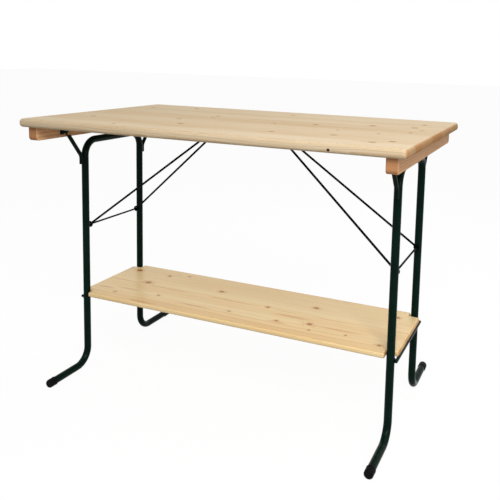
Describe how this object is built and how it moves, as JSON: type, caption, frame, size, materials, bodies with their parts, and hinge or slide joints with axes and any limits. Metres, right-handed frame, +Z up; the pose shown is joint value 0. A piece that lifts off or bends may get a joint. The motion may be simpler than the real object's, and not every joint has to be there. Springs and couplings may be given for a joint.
{
  "type": "folding bar table",
  "caption": "Standing-height bar table with a glued pine top on two bent tube leg frames with wire braces, hinge struts and a lift-out pine shelf.",
  "frame": {"origin": "on the floor, under the middle of the table top", "axes": "+X along the table top, +Y to its back long edge, +Z up"},
  "size_m": [1.384, 0.848, 1],
  "materials": {
    "pine_board": "clear satin lacquer",
    "batten_wood": "clear satin lacquer",
    "green_paint": "gloss powder coat",
    "black_cap": "moulded",
    "zinc_steel": "zinc plated"
  },
  "bodies": {
    "table": {"batten_left": "batten_wood", "batten_right": "batten_wood", "batten_screws_left": "zinc_steel", "batten_screws_right": "zinc_steel", "brace_catch_left": "green_paint", "brace_catch_right": "green_paint", "brace_rod_left": "green_paint", "brace_rod_right": "green_paint", "bracket_screws": "zinc_steel", "catch_screws": "zinc_steel", "foot_cap_left_back": "black_cap", "foot_cap_left_front": "black_cap", "foot_cap_right_back": "black_cap", "foot_cap_right_front": "black_cap", "hinge_bracket_left_back": "green_paint", "hinge_bracket_left_front": "green_paint", "hinge_bracket_right_back": "green_paint", "hinge_bracket_right_front": "green_paint", "hinge_pin_left_back": "green_paint", "hinge_pin_left_front": "green_paint", "hinge_pin_right_back": "green_paint", "hinge_pin_right_front": "green_paint", "leg_frame_left": "green_paint", "leg_frame_right": "green_paint", "shelf_bar_left": "green_paint", "shelf_bar_right": "green_paint", "strut_left_back": "green_paint", "strut_left_front": "green_paint", "strut_right_back": "green_paint", "strut_right_front": "green_paint", "table_top": "pine_board"},
    "shelf": {"shelf_board": "pine_board"},
    "left_brace": {"brace_hook_left": "green_paint", "brace_wire_left_back": "green_paint", "brace_wire_left_front": "green_paint"},
    "right_brace": {"brace_hook_right": "green_paint", "brace_wire_right_back": "green_paint", "brace_wire_right_front": "green_paint"}
  },
  "joints": [
    {"name": "shelf_lift", "type": "slide", "parent": "table", "child": "shelf", "axis": [0, 0, 1], "range_m": [0, 0.1]},
    {"name": "left_brace_swing", "type": "hinge", "parent": "table", "child": "left_brace", "pos_m": [-0.6105, 0, 0.567], "axis": [0, 1, 0], "range_deg": [0, 50]},
    {"name": "right_brace_swing", "type": "hinge", "parent": "table", "child": "right_brace", "pos_m": [0.6105, 0, 0.567], "axis": [0, -1, 0], "range_deg": [0, 50]}
  ]
}
